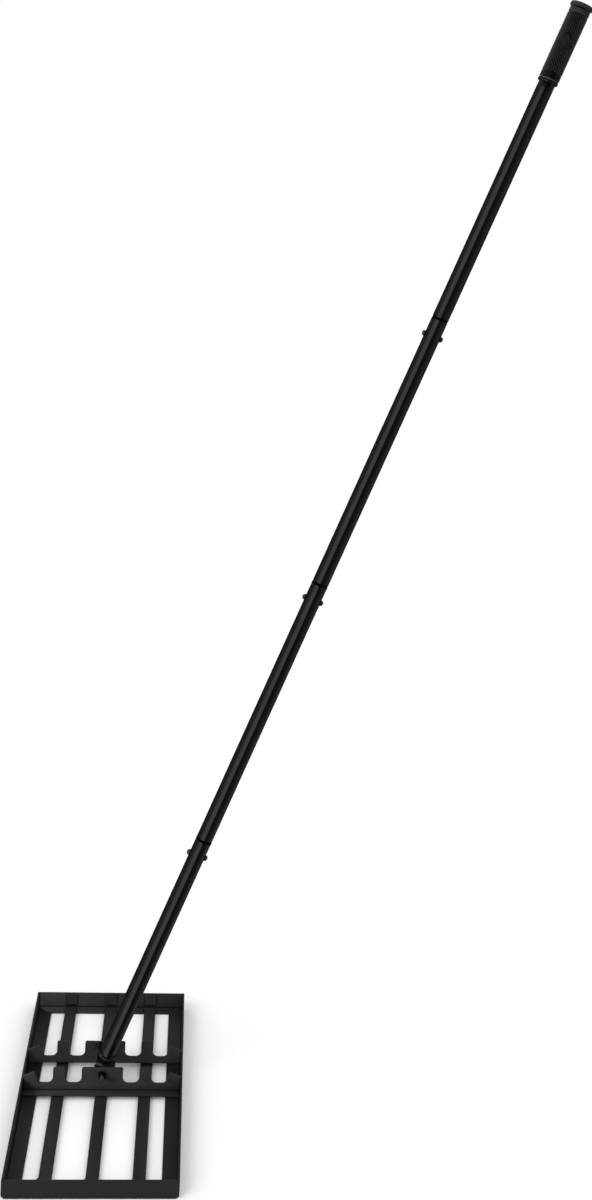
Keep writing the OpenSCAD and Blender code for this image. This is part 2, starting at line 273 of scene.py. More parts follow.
def moulded_rubber(name, dark, light, rough_low, rough_high):
    material = empty_material(name)
    coords = add_node(material, "ShaderNodeTexCoord")
    grain = add_node(material, "ShaderNodeTexNoise",
                     {"Vector": coords.outputs["Object"], "Scale": 1 / RUBBER_GRAIN, "Detail": 4.0})
    tone = add_node(material, "ShaderNodeMix",
                    {MIX_SHARE: grain.outputs["Fac"], MIX_DARK: linear(dark), MIX_LIGHT: linear(light)},
                    data_type="RGBA")
    rough = add_node(material, "ShaderNodeMapRange",
                     {"Value": grain.outputs["Fac"], "To Min": rough_low, "To Max": rough_high})
    skin = add_node(material, "ShaderNodeBump",
                    {"Height": grain.outputs["Fac"], "Strength": RUBBER_GRAIN_STRENGTH,
                     "Distance": RUBBER_GRAIN_DEPTH})
    shader = add_node(material, "ShaderNodeBsdfPrincipled",
                      {"Base Color": tone.outputs[MIX_COLOUR], "Roughness": rough.outputs["Result"],
                       "Normal": skin.outputs["Normal"], "IOR": RUBBER_IOR})
    add_node(material, "ShaderNodeOutputMaterial", {"Surface": shader.outputs["BSDF"]})
    print("made", name)
    return material


# Black sleeve rubber; between the studs its black is painted shade.
smooth_rubber = moulded_rubber("moulded_rubber_smooth", "#040404", "#080808",
                               rough_low=0.24, rough_high=0.32)
# Grey copy for the raised pattern: painted light on the studs.
raised_rubber_painted_lit = moulded_rubber("moulded_rubber_raised_painted_lit", "#242425", "#2d2d2e",
                               rough_low=0.3, rough_high=0.42)
# Lighter copy for the lip's upper edge: a painted highlight.
lip_painted_highlight_rubber = moulded_rubber("moulded_rubber_lip_painted_highlight", "#48484a", "#585859",
                             rough_low=0.36, rough_high=0.48)
# Paler grey copy for the flange and the upper collar.
pale_rubber = moulded_rubber("moulded_rubber_pale", "#1c1c1d", "#252526",
                               rough_low=0.52, rough_high=0.66)
matt_rubber = moulded_rubber("moulded_rubber_matt", "#0f0f10", "#171718",
                             rough_low=0.58, rough_high=0.72)

# %% [markdown]
# ## Finishing a piece
# Every new piece goes through the same last step: its bmesh becomes an object at the origin, takes a
# material, rides on a CAD body, and may stand for CAD nodes. A Bevel modifier breaks its hard edges,
# because no real edge is a knife. Turned parts are a profile, spun once round. Two small functions list
# the faces or the edges at some points, in the same order each run.

# %% Helpers for pieces
EDGE_SEGMENTS = 2
EDGE_ANGLE = math.radians(35)
MERGE_GAP = 0.001 * MM


def finish_piece(name, mesh_edit, material, body, nodes=(), edge_break=0.0, smooth=True):
    mesh = bpy.data.meshes.new(name)
    mesh_edit.to_mesh(mesh)
    mesh_edit.free()
    piece = bpy.data.objects.new(name, mesh)
    bpy.context.collection.objects.link(piece)
    mesh.materials.append(material)
    if smooth:
        mesh.shade_smooth()
    if edge_break:
        bevel = piece.modifiers.new("edge break", "BEVEL")
        bevel.width = edge_break
        bevel.segments = EDGE_SEGMENTS
        bevel.limit_method = "ANGLE"
        bevel.angle_limit = EDGE_ANGLE
        bevel.harden_normals = True
    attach(piece, body)
    if nodes:
        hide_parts(*nodes)
    print(name, "has", len(mesh.polygons), "faces and rides on", body)
    return piece


def lathe(profile, steps):
    turned = bmesh.new()
    points = [turned.verts.new((radius, 0, height)) for radius, height in profile]
    line = [turned.edges.new(pair) for pair in zip(points, points[1:])]
    bmesh.ops.spin(turned, geom=points + line, cent=(0, 0, 0), axis=(0, 0, 1), angle=math.tau,
                   steps=steps, use_merge=True)
    bmesh.ops.remove_doubles(turned, verts=turned.verts, dist=MERGE_GAP)
    bmesh.ops.recalc_face_normals(turned, faces=turned.faces)
    return turned


def faces_at(points):
    return list(dict.fromkeys(face for point in points for face in point.link_faces))


def edges_at(points):
    return list(dict.fromkeys(edge for point in points for edge in point.link_edges))


print("corners over", round(math.degrees(EDGE_ANGLE)), "degrees get a broken edge")

# %% [markdown]
# ## Bent sheet with broken edges
# Rims, straps, cross walls and yoke are laser-cut and bent, so their CAD solids already have the right
# shape. Only the knife edges are wrong: the real blank is tumbled, and the powder rounds it further.
# Each solid's mesh is copied, its triangles are merged into whole faces, and the edges are broken. The
# yoke is welded to the handle before painting, so it shares the tubes' gloss. Faces in the hollow of a
# bend, which lean between upright and level, take a darker copy of the coat: painted shade.

# %% Sheet pieces
SHEET_EDGE = 0.45 * MM
SHEET_NODES = {
    "base": ["rim_left", "rim_right", "rim_front", "rim_rear", "strap_left", "strap_middle", "strap_right",
             "cross_wall_front", "cross_wall_rear"],
    "handle": ["yoke"]}
PAINTS = {"base": (powder_coat, "frame_paint"), "handle": (gloss_enamel, "tube_paint")}
FLAT_ANGLE = math.radians(0.5)
BEND_LOW = 0.4
BEND_HIGH = 0.92
for body, names in SHEET_NODES.items():
    for name in names:
        sheet = bmesh.new()
        sheet.from_mesh(frame["nodes"][name].data)
        bmesh.ops.remove_doubles(sheet, verts=sheet.verts, dist=MERGE_GAP)
        bmesh.ops.dissolve_limit(sheet, angle_limit=FLAT_ANGLE, verts=sheet.verts, edges=sheet.edges)
        # Faces in the hollow of a bend take material 1, the darker coat that paints the bend's shade.
        for face in sheet.faces:
            hollow = min(edge.calc_face_angle_signed(0.0) for edge in face.edges) < -FLAT_ANGLE
            face.material_index = int(hollow and BEND_LOW < abs(face.normal.z) < BEND_HIGH)
        paint, slot = PAINTS[body]
        piece = finish_piece(name + "_sheet", sheet, paint, body, [name], SHEET_EDGE)
        piece.data.materials.append(bend_shade_coat if body == "base" else paint)

# %% [markdown]
# ## Tubes, springs
# The tubes are turned shapes with real cross holes, and their CAD meshes are smooth, so they stay and
# only take the paint. The same goes for the clips that hide inside them.

# %% Tubes and springs
for name in ("lower_tube", "lower_middle_tube", "upper_middle_tube", "upper_tube"):
    frame["nodes"][name].material_slots[0].material = gloss_enamel
for name in ("spring_lower", "spring_middle", "spring_upper"):
    frame["nodes"][name].material_slots[0].material = spring_strip
print("painted the tubes and gave the clips their bare steel")

# %% [markdown]
# ## Where the handle is
# The handle's pieces are drawn upright, with the bolt at zero, and then set on the leaning handle.

# %% Handle frame
pivot = Vector(frame["record"]["behaviour"]["joints"][0]["pos_m"])
LEAN = math.radians(20.7)
ON_HANDLE = Matrix.Translation(pivot) @ Matrix.Rotation(LEAN, 4, "Y")
TUBE_R = 13 * MM
YOKE_RISE = 12 * MM
JOINTS = {"lower": 403 * MM, "middle": 855.5 * MM, "upper": 1308 * MM}
TUBE_TOP = 1826 * MM
print("bolt at", tuple(pivot))

# %% [markdown]
# ## Tube joints
# Each section's lower end is drawn thinner, so that it slips into the section below. That neck gets
# primer only, so it shows as a dull black line, and the edge of the outer tube under it is rolled to a
# small round lip that catches the light. The neck's profile is radius and height, in millimetres.

# %% Primer
PRIMER_GRAIN = 1.5 * MM
PRIMER_ROUGH = 0.85
PRIMER_SHEEN = 0.03
# The same dull black also rings the buttons, where it stands for the shade in the gap.
primer_and_painted_shade = empty_material("dull_black_primer_and_painted_shade")
coords = add_node(primer_and_painted_shade, "ShaderNodeTexCoord")
grain = add_node(primer_and_painted_shade, "ShaderNodeTexNoise",
                 {"Vector": coords.outputs["Object"], "Scale": 1 / PRIMER_GRAIN, "Detail": 3.0})
tone = add_node(primer_and_painted_shade, "ShaderNodeMix",
                {MIX_SHARE: grain.outputs["Fac"], MIX_DARK: linear("#010101"), MIX_LIGHT: linear("#040404")},
                data_type="RGBA")
shader = add_node(primer_and_painted_shade, "ShaderNodeBsdfPrincipled",
                  {"Base Color": tone.outputs[MIX_COLOUR], "Roughness": PRIMER_ROUGH,
                   "Specular IOR Level": PRIMER_SHEEN})
add_node(primer_and_painted_shade, "ShaderNodeOutputMaterial", {"Surface": shader.outputs["BSDF"]})
print("made", primer_and_painted_shade.name)

# %% Necks and lips
TUBE_STEPS = 64
NECK = [(12.0, 0.1), (12.15, 0.1), (12.15, 1.05), (13.06, 3.95), (13.06, 4.9), (12.9, 4.95), (12.9, 4.0),
        (12.0, 1.2), (12.0, 0.1)]
LIP_R = 0.75 * MM
LIP_MIDDLE = 12.75 * MM
LIP_POINTS = 12
lip_turns = [math.tau * i / LIP_POINTS for i in range(LIP_POINTS + 1)]
lip_profile = [(LIP_MIDDLE + LIP_R * math.cos(turn), LIP_R * math.sin(turn)) for turn in lip_turns]
neck_profile = [(radius * MM, height * MM) for radius, height in NECK]
for level_name, joint in JOINTS.items():
    for kind, profile, paint in (("neck", neck_profile, primer_and_painted_shade), ("lip", lip_profile, gloss_enamel)):
        turned = lathe(profile, TUBE_STEPS)
        seat = ON_HANDLE @ Matrix.Translation((0, 0, joint))
        bmesh.ops.transform(turned, matrix=seat, verts=turned.verts)
        finish_piece(kind + "_" + level_name, turned, paint, "handle")

# %% [markdown]
# ## Weld at the handle's foot
# The lower tube is welded to the yoke's web, and the bead shows as overlapping scales. Each scale is a
# slightly squashed ball, and a spin with copies lays them round the tube, so close that only their
# crowns show. The welder ended the run on the left and the right, so the bead is heavier there.

# %% Weld
SCALE_LENGTH = 0.92
SCALE_DETAIL = 2
RING_SCALES = 40
RING_SCALE_R = 2.3 * MM
RING_OUT = 0.8 * MM
RING_UP = 0.6 * MM
RING_SWEEP = math.tau * (RING_SCALES - 1) / RING_SCALES
END_SCALES = 11
END_SCALE_R = 2.7 * MM
END_OUT = 0.4 * MM
END_UP = 3.2 * MM
END_SWEEP = math.radians(96)


def weld_run(bead, scale_r, ring_r, height, first_turn, sweep, count):
    ball = bmesh.ops.create_icosphere(bead, subdivisions=SCALE_DETAIL, radius=scale_r)["verts"]
    bmesh.ops.scale(bead, vec=(1.0, SCALE_LENGTH, 1.0), verts=ball)
    bmesh.ops.translate(bead, vec=(ring_r, 0, height), verts=ball)
    bmesh.ops.rotate(bead, cent=(0, 0, 0), matrix=Matrix.Rotation(first_turn, 3, "Z"), verts=ball)
    bmesh.ops.spin(bead, geom=faces_at(ball), cent=(0, 0, 0), axis=(0, 0, 1), angle=sweep, steps=count - 1,
                   use_duplicate=True)


weld = bmesh.new()
weld_run(weld, RING_SCALE_R, TUBE_R + RING_OUT, YOKE_RISE + RING_UP, 0.0, RING_SWEEP, RING_SCALES)
for side_turn in (0.0, math.pi):
    weld_run(weld, END_SCALE_R, TUBE_R + END_OUT, YOKE_RISE + END_UP, side_turn - END_SWEEP / 2, END_SWEEP,
             END_SCALES)
bmesh.ops.transform(weld, matrix=ON_HANDLE, verts=weld.verts)
finish_piece("weld_tube_foot", weld, gloss_enamel, "handle")

# %% [markdown]
# ## Bolt, nut, washers
# A hexagon is turned from bar, so its corners are chamfered to a round land. Rings of the same number
# of points, round or six-sided, are bridged one after the other, which gives that chamfer. A bridge
# between two rings in one plane can join the wrong points, so the faces under the head and on the nut
# are dished a little. The thread is a small three-cornered ridge that a spin carries along as it turns.

# %% Helpers for hexagons
HEX_SIDES = 6
RING_POINTS = 24


def ring(part, radius, height, sides=RING_POINTS):
    points = bmesh.ops.create_circle(part, segments=RING_POINTS, radius=radius)["verts"]
    if sides < RING_POINTS:
        flat = math.pi / sides
        for point in points:
            turn = math.atan2(point.co.y, point.co.x) % (2 * flat) - flat
            point.co = point.co * math.cos(flat) / math.cos(turn)
    bmesh.ops.translate(part, vec=(0, 0, height), verts=points)
    return edges_at(points)


def bridge(part, rings):
    for lower, upper in zip(rings, rings[1:]):
        bmesh.ops.bridge_loops(part, edges=lower + upper)


def place_on_bolt(part, y):
    seat = Matrix.Translation((0, y, pivot.z)) @ Matrix.Rotation(-math.pi / 2, 4, "X")
    bmesh.ops.transform(part, matrix=seat, verts=part.verts)


print("a ring has", RING_POINTS, "points")

# %% Nut
BOLT_R = 3 * MM
BORE_R = BOLT_R + 0.1 * MM
MOUTH_R = BOLT_R + 0.6 * MM
MOUTH_DEPTH = 0.5 * MM
HEX_WIDTH = 10 * MM
HEX_CORNER = HEX_WIDTH / math.sqrt(3)
LAND_R = 4.75 * MM
CHAMFER = 0.7 * MM
DISH = 0.05 * MM
NUT_EDGE = 0.15 * MM
nut_low, nut_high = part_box("pivot_nut")
nut_height = nut_high[1] - nut_low[1]
nut = bmesh.new()
nut_rings = [ring(nut, BORE_R, MOUTH_DEPTH), ring(nut, MOUTH_R, DISH),
             ring(nut, LAND_R, 0.0), ring(nut, HEX_CORNER, CHAMFER, HEX_SIDES),
             ring(nut, HEX_CORNER, nut_height - CHAMFER, HEX_SIDES), ring(nut, LAND_R, nut_height),
             ring(nut, MOUTH_R, nut_height - DISH), ring(nut, BORE_R, nut_height - MOUTH_DEPTH)]
bridge(nut, nut_rings + nut_rings[:1])
bmesh.ops.recalc_face_normals(nut, faces=nut.faces)
place_on_bolt(nut, nut_low[1])
finish_piece("nut_hex", nut, black_zinc, "base", ["pivot_nut"], NUT_EDGE)

# %% Bolt with thread
HEAD_HEIGHT = 4 * MM
POINT_TAPER = 0.6 * MM
THREAD_PITCH = 1 * MM
THREAD_DEPTH = 0.55 * MM
THREAD_LENGTH = 24 * MM
THREAD_RUNOUT = 0.5 * MM
THREAD_START = 0.7 * MM
THREAD_FREE_ENDS = 1.2 * MM
RIDGE_SINK = 0.1 * MM
RIDGE_CREST = 0.45 * THREAD_PITCH
RIDGE_WIDTH = 0.9 * THREAD_PITCH
TURN_STEPS = 24
bolt_low, bolt_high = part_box("pivot_bolt")
bolt_length = bolt_high[1] - bolt_low[1] - HEAD_HEIGHT
root_r = BOLT_R - THREAD_DEPTH
bolt = bmesh.new()
bolt_rings = [ring(bolt, root_r - POINT_TAPER, 0.0), ring(bolt, root_r, POINT_TAPER),
              ring(bolt, root_r, THREAD_LENGTH), ring(bolt, BOLT_R, THREAD_LENGTH + THREAD_RUNOUT),
              ring(bolt, BOLT_R, bolt_length + DISH), ring(bolt, HEX_CORNER, bolt_length, HEX_SIDES),
              ring(bolt, HEX_CORNER, bolt_length + HEAD_HEIGHT - CHAMFER, HEX_SIDES),
              ring(bolt, LAND_R, bolt_length + HEAD_HEIGHT)]
bridge(bolt, bolt_rings)
for cap in (bolt_rings[0], bolt_rings[-1]):
    bmesh.ops.contextual_create(bolt, geom=cap)
turns = int((THREAD_LENGTH - THREAD_FREE_ENDS) / THREAD_PITCH)
ridge_profile = [(root_r - RIDGE_SINK, 0.0), (BOLT_R, RIDGE_CREST), (root_r - RIDGE_SINK, RIDGE_WIDTH)]
ridge = [bolt.verts.new((radius, 0, THREAD_START + height)) for radius, height in ridge_profile]
start_face = bolt.faces.new(ridge)
bmesh.ops.spin(bolt, geom=[start_face], cent=(0, 0, 0), axis=(0, 0, 1), angle=math.tau * turns,
               steps=TURN_STEPS * turns, dvec=(0, 0, THREAD_PITCH / TURN_STEPS))
bolt.normal_update()
bmesh.ops.recalc_face_normals(bolt, faces=bolt.faces)
place_on_bolt(bolt, bolt_low[1])
finish_piece("bolt_threaded", bolt, dark_zinc, "base", ["pivot_bolt"], smooth=False)

# %% Washers
FASTENER_STEPS = 48
WASHER_R = 7 * MM
WASHER_EDGE = 0.3 * MM
for name in ("spacer_front", "spacer_rear"):
    low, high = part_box(name)
    thick = high[1] - low[1]
    section = [(BORE_R, 0), (WASHER_R, 0), (WASHER_R, thick), (BORE_R, thick), (BORE_R, 0)]
    washer = lathe(section, FASTENER_STEPS)
    place_on_bolt(washer, low[1])
    finish_piece(name + "_washer", washer, black_zinc, "base", [name], WASHER_EDGE)

# %% [markdown]
# ## Snap buttons
# Each tube joint is locked by two sprung pins with domed tips. A button is a turned part: its profile
# is drawn as half a section and spun once round. A small dull black ring stands up a little round it
# and outlines the button: painted shade in the gap between button and hole. The ring's profile is in
# millimetres.

# %% Buttons
BUTTON_DROP = 26.5 * MM
BUTTON_R = 4.25 * MM
BUTTON_TIP = TUBE_R + 4.5 * MM
BUTTON_EDGE = 0.3 * MM
COLLAR_R = 5.5 * MM
COLLAR_FACE = 8.6 * MM
COLLAR_BACK = 7.45 * MM
DOME_HEIGHT = 2 * MM
DOME_POINTS = 8
HOLE_SHADE_RING = [(4.5, 11.7), (5.5, 11.7), (5.5, 12.6), (5.2, 13.0), (4.7, 13.15), (4.5, 13.0), (4.5, 11.7)]
hole_shade_profile = [(radius * MM, height * MM) for radius, height in HOLE_SHADE_RING]
dome_r = (BUTTON_R ** 2 + DOME_HEIGHT ** 2) / (2 * DOME_HEIGHT)
dome_sweep = math.asin(BUTTON_R / dome_r)
dome_turns = [dome_sweep * (1 - i / DOME_POINTS) for i in range(DOME_POINTS + 1)]
dome = [(dome_r * math.sin(turn), BUTTON_TIP - dome_r + dome_r * math.cos(turn)) for turn in dome_turns]
collar = [(0, COLLAR_BACK), (COLLAR_R, COLLAR_BACK), (COLLAR_R, COLLAR_FACE), (BUTTON_R, COLLAR_FACE)]
for level_name, joint in JOINTS.items():
    for side_name, side in (("left", -1), ("right", 1)):
        name = "button_" + level_name + "_" + side_name
        button = lathe(collar + dome, FASTENER_STEPS)
        outward = Matrix.Rotation(side * math.pi / 2, 4, "Y")
        seat = ON_HANDLE @ Matrix.Translation((0, 0, joint - BUTTON_DROP)) @ outward
        bmesh.ops.transform(button, matrix=seat, verts=button.verts)
        finish_piece(name + "_pin", button, nickel, name, [name], BUTTON_EDGE)
        # A dull black ring round the button: painted shade in the gap round the pin.
        edge = lathe(hole_shade_profile, FASTENER_STEPS)
        bmesh.ops.transform(edge, matrix=seat, verts=edge.verts)
        finish_piece("hole_" + level_name + "_" + side_name, edge, primer_and_painted_shade, "handle")

# %% [markdown]
# ## Moulded grip
# The rubber grip has a rounded end flange with a groove under it, a long sleeve with raised diamonds, a
# plain band and a lower lip. The sleeve is turned from a profile of radius and height in millimetres,
# up the outside from the lip and down the bore. The pattern is laid out flat, with u along the girth
# and z along the handle, and then rolled round the sleeve. On two sides a smooth lozenge with chevrons
# under it takes the place of the diamonds.

# %% Grip sleeve
GRIP_LENGTH = 128 * MM
GRIP_BOTTOM = TUBE_TOP + 4 * MM - GRIP_LENGTH
SLEEVE_R = 15.1 * MM
GRIP_STEPS = 96
# Sleeve bands: the lip's upper edge takes the painted highlight, and the collar and flange take the paler
# grey.
LIP_HIGHLIGHT = 1
PALE = 2
SLEEVE_FINISHES = [(LIP_HIGHLIGHT, (5.0 * MM, 6.2 * MM)), (PALE, (111 * MM, 119.2 * MM)),
                   (PALE, (120.95 * MM, 130 * MM))]
SLEEVE_PROFILE = [
    (13.1, 0), (14.9, 0), (15.7, 0.7), (16.0, 2.0), (16.0, 4.2), (15.8, 4.9), (14.9, 5.6), (14.6, 6.0),
    (14.6, 6.6), (15.7, 6.9), (15.7, 7.2), (15.8, 14.9), (15.8, 15.4), (15.5, 16.2), (15.1, 17.2),
    (15.1, 17.6), (15.1, 110.6), (15.1, 111), (15.7, 112), (15.9, 113.5), (15.9, 114), (15.9, 117.7),
    (15.9, 118.2), (15.4, 118.9), (15.2, 119.6), (15.2, 120.9), (16.6, 121.0), (17.4, 121.4),
    (17.9, 122.4), (18.0, 124.0), (17.8, 125.8), (17.1, 127.1), (15.9, 127.8), (14.0, 128), (9.5, 127.9),
    (8.6, 127.4), (2.6, 127.4), (2.2, 126.9), (2.2, 124.2), (13.1, 124.2), (13.1, 0)]
sleeve = lathe([(radius * MM, height * MM) for radius, height in SLEEVE_PROFILE], GRIP_STEPS)
for face in sleeve.faces:
    height = face.calc_center_median().z
    for finish, (low, high) in SLEEVE_FINISHES:
        if low < height < high:
            face.material_index = finish
print("sleeve has", len(sleeve.faces), "faces")

# %% Grip studs, laid out flat
STUD_COLUMNS = 21
STUD_ROW = 2.5 * MM
STUD_WIDE = 1.3 * MM
STUD_TALL = 1.4 * MM
STUD_RISE = 0.95 * MM
STUD_TOP_SHARE = 0.5
PATTERN_LOW = 18.6 * MM
PATTERN_HIGH = 110.2 * MM
LOZENGE_TURN = math.radians(-15)
LOZENGE_Z = 66 * MM
LOZENGE_WIDE = 8.6 * MM
LOZENGE_TALL = 12 * MM
LOZENGE_MARGIN = 1.2
CHEVRON_GAP = 2.5 * MM
CHEVRONS = 3
girth = math.tau * SLEEVE_R
pitch = girth / STUD_COLUMNS
lozenge_u = [LOZENGE_TURN * SLEEVE_R, LOZENGE_TURN * SLEEVE_R + girth / 2]


def lozenge_distance(u, z):
    across = min(abs((u - middle + girth / 2) % girth - girth / 2) for middle in lozenge_u)
    return across / LOZENGE_WIDE + abs(z - LOZENGE_Z) / LOZENGE_TALL


pattern = bmesh.new()
studs = 0
row_count = int((PATTERN_HIGH - PATTERN_LOW) / STUD_ROW) + 1
for row in range(row_count):
    z = PATTERN_LOW + row * STUD_ROW
    chevron_room = 0 if z > LOZENGE_Z else CHEVRONS * CHEVRON_GAP / LOZENGE_TALL
    for column in range(STUD_COLUMNS):
        u = (column + 0.5 * (row % 2)) * pitch
        if lozenge_distance(u, z) < LOZENGE_MARGIN + chevron_room:
            continue
        flat = Matrix.Translation((u, z, STUD_RISE / 2)) @ Matrix.Diagonal((STUD_WIDE, STUD_TALL, 1, 1))
        bmesh.ops.create_cone(pattern, cap_ends=True, segments=4, radius1=1, radius2=STUD_TOP_SHARE,
                              depth=STUD_RISE, matrix=flat)
        studs += 1
print("pattern has", studs, "studs")

# %% Lozenges and chevrons
MATT = 1
PATTERN_SINK = 0.05 * MM
LOZENGE_RISE = 0.5 * MM
LOZENGE_CELLS = 14
CHEVRON_HALF_WIDE = 0.55 * MM
CHEVRON_HALF_RISE = 0.3 * MM
CHEVRON_CUTS = 7
LONG_SHARE = 0.9
for middle in lozenge_u:
    for step in range(1, CHEVRONS + 1):
        drop = step * CHEVRON_GAP
        for side in (-1, 1):
            arm = Vector((side * LOZENGE_WIDE, LOZENGE_TALL))
            centre = Vector((middle, LOZENGE_Z - LOZENGE_TALL - drop)) + arm * 0.5
            slope = math.atan2(arm.y, arm.x)
            bar = (Matrix.Translation((centre.x, centre.y, CHEVRON_HALF_RISE))
                   @ Matrix.Rotation(slope, 4, "Z")
                   @ Matrix.Diagonal((arm.length / 2, CHEVRON_HALF_WIDE, CHEVRON_HALF_RISE, 1)))
            cube = bmesh.ops.create_cube(pattern, size=2, matrix=bar)["verts"]
            for face in faces_at(cube):
                face.material_index = MATT
            long_edges = [edge for edge in edges_at(cube) if edge.calc_length() > arm.length * LONG_SHARE]
            bmesh.ops.subdivide_edges(pattern, edges=long_edges, cuts=CHEVRON_CUTS)
    tilt = Matrix.Rotation(math.pi / 4, 4, "Z")
    size = Matrix.Diagonal((LOZENGE_WIDE / math.sqrt(2), LOZENGE_TALL / math.sqrt(2), 1, 1))
    place = Matrix.Translation((middle, LOZENGE_Z, PATTERN_SINK)) @ size @ tilt
    grid = bmesh.ops.create_grid(pattern, x_segments=LOZENGE_CELLS, y_segments=LOZENGE_CELLS, size=1,
                                 matrix=place)["verts"]
    raised = bmesh.ops.extrude_face_region(pattern, geom=faces_at(grid))["geom"]
    lifted = [item for item in raised if isinstance(item, bmesh.types.BMVert)]
    bmesh.ops.translate(pattern, vec=(0, 0, LOZENGE_RISE), verts=lifted)
    for face in faces_at(lifted):
        face.material_index = MATT
print("pattern has", len(lozenge_u), "lozenges with", CHEVRONS, "chevrons each")

# %% Pattern rolled round the sleeve
for vert in pattern.verts:
    u, z, rise = vert.co
    radius = SLEEVE_R + rise - PATTERN_SINK
    vert.co = (radius * math.sin(u / SLEEVE_R), -radius * math.cos(u / SLEEVE_R), z)
pattern.normal_update()
bmesh.ops.recalc_face_normals(pattern, faces=pattern.faces)
print("rolled", len(pattern.verts), "points")

# %% Grip pieces on the handle
on_grip = ON_HANDLE @ Matrix.Translation((0, 0, GRIP_BOTTOM))
for part in (sleeve, pattern):
    bmesh.ops.transform(part, matrix=on_grip, verts=part.verts)
grip_sleeve = finish_piece("grip_sleeve", sleeve, smooth_rubber, "handle", ["grip"])
grip_pattern = finish_piece("grip_pattern", pattern, raised_rubber_painted_lit, "handle", smooth=False)
for finish in (lip_painted_highlight_rubber, pale_rubber):
    grip_sleeve.data.materials.append(finish)
grip_pattern.data.materials.append(matt_rubber)

# %% [markdown]
# ## The studio
# The photograph is a plain white cut-out. A white floor takes the soft shadow, and the world is white
# where the camera, a reflection or glass looks at it. Two wide suns light the piece at a plain level.
# Each has a power, a spread in degrees and a turn in degrees.

# %% Floor
FLOOR_SIZE = 60.0
FLOOR_DROP = 0.2 * MM
floor_edit = bmesh.new()
bmesh.ops.create_grid(floor_edit, x_segments=1, y_segments=1, size=FLOOR_SIZE / 2)
floor_mesh = bpy.data.meshes.new("floor")
floor_edit.to_mesh(floor_mesh)
floor_edit.free()
floor = bpy.data.objects.new("floor", floor_mesh)
bpy.context.collection.objects.link(floor)
floor.location.z = -FLOOR_DROP
white_floor = empty_material("white_paper_floor")
paper = add_node(white_floor, "ShaderNodeBsdfDiffuse", {"Color": linear("#fafafa")})
add_node(white_floor, "ShaderNodeOutputMaterial", {"Surface": paper.outputs["BSDF"]})
floor_mesh.materials.append(white_floor)
print("floor of", FLOOR_SIZE, "m")

# %% World and suns
SKY_LIGHT = 0.74
world = bpy.data.worlds.new("studio")
bpy.context.scene.world = world
world.use_nodes = True
world.node_tree.nodes.clear()
path = add_node(world, "ShaderNodeLightPath")
mirror = add_node(world, "ShaderNodeMath",
                  {0: path.outputs["Is Camera Ray"], 1: path.outputs["Is Glossy Ray"]}, operation="MAXIMUM")
seen = add_node(world, "ShaderNodeMath",
                {0: mirror.outputs[0], 1: path.outputs["Is Transmission Ray"]}, operation="MAXIMUM")
strength = add_node(world, "ShaderNodeMapRange",
                    {"Value": seen.outputs[0], "To Min": SKY_LIGHT, "To Max": 1.0})
sky = add_node(world, "ShaderNodeBackground",
               {"Color": linear("#ffffff"), "Strength": strength.outputs["Result"]})
add_node(world, "ShaderNodeOutputWorld", {"Surface": sky.outputs["Background"]})

SUNS = {"key": (1.2, 40, (52, 0, -50)), "fill": (0.6, 60, (48, 0, 60))}
for name, (power, spread, turn) in SUNS.items():
    sun = bpy.data.objects.new(name, bpy.data.lights.new(name, "SUN"))
    bpy.context.collection.objects.link(sun)
    sun.data.energy = power
    sun.data.angle = math.radians(spread)
    sun.rotation_euler = [math.radians(angle) for angle in turn]
    sun.visible_glossy = False
print("white world and", len(SUNS), "suns")

# %% [markdown]
# ## Lamps for single pieces
# Light linking lets a lamp light chosen pieces only. Small lamps on the left lift the cross walls, the
# rear rim and the grip, and a low pair in front lifts the rear wall and the turned-up strap ends, all of
# which would be dim. The low pair and the rim's lamp are shaded only by what they light. Each lamp has
# a power in watts, a place, a point that it faces, and its pieces.

# %% Lamps
LAMP_SIZE = 200 * MM
FRAME_AIM = Vector((0, 280 * MM, 30 * MM))
FRAME_LAMP = Vector((-420 * MM, -60 * MM, 260 * MM))
GRIP_AIM = ON_HANDLE @ Vector((0, 0, GRIP_BOTTOM + GRIP_LENGTH / 2))
GRIP_LAMP = GRIP_AIM + Vector((-550 * MM, -250 * MM, 60 * MM))
LOW_LAMP = Vector((200 * MM, -350 * MM, 50 * MM))
RIM_AIM = Vector((-50 * MM, 420 * MM, 15 * MM))
RIM_LAMP = Vector((-350 * MM, 250 * MM, 150 * MM))
STRAP_SHEETS = ["strap_left_sheet", "strap_middle_sheet", "strap_right_sheet"]
LAMPS = {"left_lamp_front": (4.4, FRAME_LAMP, FRAME_AIM, ["cross_wall_front_sheet"]),
         "left_lamp_rim": (2.7, RIM_LAMP, RIM_AIM, ["rim_rear_sheet"]),
         "left_lamp_rear": (1.0, FRAME_LAMP, FRAME_AIM, ["cross_wall_rear_sheet"]),
         "low_lamp_rear": (2.2, LOW_LAMP, FRAME_AIM, ["cross_wall_rear_sheet"]),
         "low_lamp_straps": (3.0, LOW_LAMP, FRAME_AIM, STRAP_SHEETS),
         "left_lamp_grip": (4.2, GRIP_LAMP, GRIP_AIM, ["grip_sleeve", "grip_pattern"])}
for name, (power, place, aim, pieces) in LAMPS.items():
    lamp = bpy.data.objects.new(name, bpy.data.lights.new(name, "AREA"))
    bpy.context.collection.objects.link(lamp)
    lamp.data.energy = power
    lamp.data.size = LAMP_SIZE
    lamp.location = place
    lamp.rotation_euler = (aim - place).to_track_quat("-Z", "Y").to_euler()
    lamp.visible_camera = False
    lamp.visible_glossy = False
    lit = bpy.data.collections.new("lit_by_" + name)
    for piece in pieces:
        lit.objects.link(bpy.data.objects[piece])
    lamp.light_linking.receiver_collection = lit
    if place in (LOW_LAMP, RIM_LAMP):
        lamp.light_linking.blocker_collection = lit
print(len(LAMPS), "lamps")

